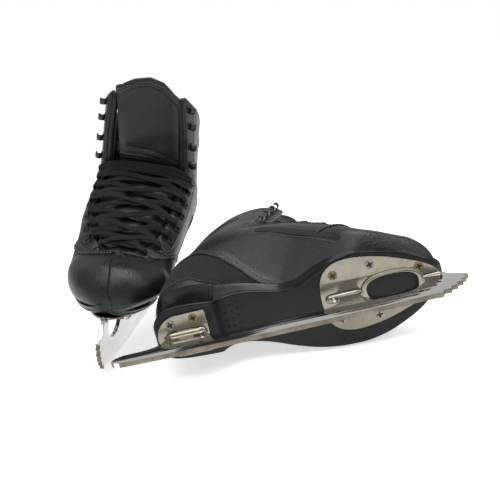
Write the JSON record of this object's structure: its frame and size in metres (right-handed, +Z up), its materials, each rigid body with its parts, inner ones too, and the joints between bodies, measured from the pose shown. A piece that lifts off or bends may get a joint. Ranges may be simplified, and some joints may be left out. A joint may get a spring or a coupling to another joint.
{
  "type": "pair of figure skates",
  "caption": "Pair of laced leather ice figure skates with toe-pick blades screwed to heeled soles; one stands on its blade leaning on the other, which lies on its side.",
  "frame": {"origin": "floor level below the centre of the box around the pair", "axes": "+Z up from the floor; +X to the side the lying skate's toe points to; -Y towards the standing skate's toe"},
  "size_m": [0.348, 0.3986, 0.2581],
  "materials": {
    "polished_steel": "mirror-polished runner sides with a matt ground edge",
    "plate_chrome": "polished plate, slightly yellowed",
    "screw_steel": "plated cross-head screws, some turned brassy with rust",
    "outsole_black": "moulded black sole, smooth sidewall",
    "footbed_fabric": "flat fabric",
    "upper_leather": "smooth black leather with a soft sheen",
    "mesh_fabric": "black textured mesh",
    "lining_fabric": "soft dark lining",
    "facing_leather": "black leather strip",
    "fitting_black": "black painted steel",
    "lace_fabric": "flat matt black woven lace",
    "tongue_leather": "smooth padded black leather",
    "binding_leather": "stitched black edge trim"
  },
  "bodies": {
    "left_foot": {"left_runner": "polished_steel", "left_sole_plate": "plate_chrome", "left_heel_plate": "plate_chrome", "left_sole_screws": "screw_steel", "left_heel_screws": "screw_steel", "left_outsole": "outsole_black", "left_insole": "footbed_fabric", "left_upper_medial": "upper_leather", "left_upper_lateral": "upper_leather", "left_heel_panel": "mesh_fabric", "left_lining": "lining_fabric", "left_facing_medial": "facing_leather", "left_facing_lateral": "facing_leather", "left_eyelets": "fitting_black", "left_laces": "lace_fabric", "left_tongue_base": "tongue_leather"},
    "left_cuff": {"left_cuff_medial": "upper_leather", "left_cuff_lateral": "upper_leather", "left_collar_lining": "lining_fabric", "left_hooks": "fitting_black"},
    "left_tongue": {"left_tongue": "tongue_leather", "left_tongue_edge": "binding_leather"},
    "right_foot": {"right_runner": "polished_steel", "right_sole_plate": "plate_chrome", "right_heel_plate": "plate_chrome", "right_sole_screws": "screw_steel", "right_heel_screws": "screw_steel", "right_outsole": "outsole_black", "right_insole": "footbed_fabric", "right_upper_medial": "upper_leather", "right_upper_lateral": "upper_leather", "right_heel_panel": "mesh_fabric", "right_lining": "lining_fabric", "right_facing_medial": "facing_leather", "right_facing_lateral": "facing_leather", "right_eyelets": "fitting_black", "right_laces": "lace_fabric", "right_tongue_base": "tongue_leather"},
    "right_cuff": {"right_cuff_medial": "upper_leather", "right_cuff_lateral": "upper_leather", "right_collar_lining": "lining_fabric", "right_hooks": "fitting_black"},
    "right_tongue": {"right_tongue": "tongue_leather", "right_tongue_edge": "binding_leather"}
  },
  "joints": [
    {"name": "right_skate_lift", "type": "slide", "parent": "left_foot", "child": "right_foot", "axis": [0, 0, 1], "range_m": [0, 0.3]},
    {"name": "left_cuff_flex", "type": "hinge", "parent": "left_foot", "child": "left_cuff", "pos_m": [-0.01123, -0.04304, 0.05059], "axis": [0.0475, 0.0779, -0.9958], "range_deg": [-2, 8], "stiffness_Nm_per_rad": 4},
    {"name": "left_tongue_flex", "type": "hinge", "parent": "left_cuff", "child": "left_tongue", "pos_m": [0.02872, -0.02311, 0.05405], "axis": [0.0475, 0.0779, -0.9958], "range_deg": [0, 15], "stiffness_Nm_per_rad": 0.5},
    {"name": "right_cuff_flex", "type": "hinge", "parent": "right_foot", "child": "right_cuff", "pos_m": [-0.09345, 0.08752, 0.14372], "axis": [0.9508, -0.1075, -0.2907], "range_deg": [-2, 8], "stiffness_Nm_per_rad": 4},
    {"name": "right_tongue_flex", "type": "hinge", "parent": "right_cuff", "child": "right_tongue", "pos_m": [-0.09135, 0.04823, 0.16511], "axis": [0.9508, -0.1075, -0.2907], "range_deg": [0, 15], "stiffness_Nm_per_rad": 0.5}
  ]
}
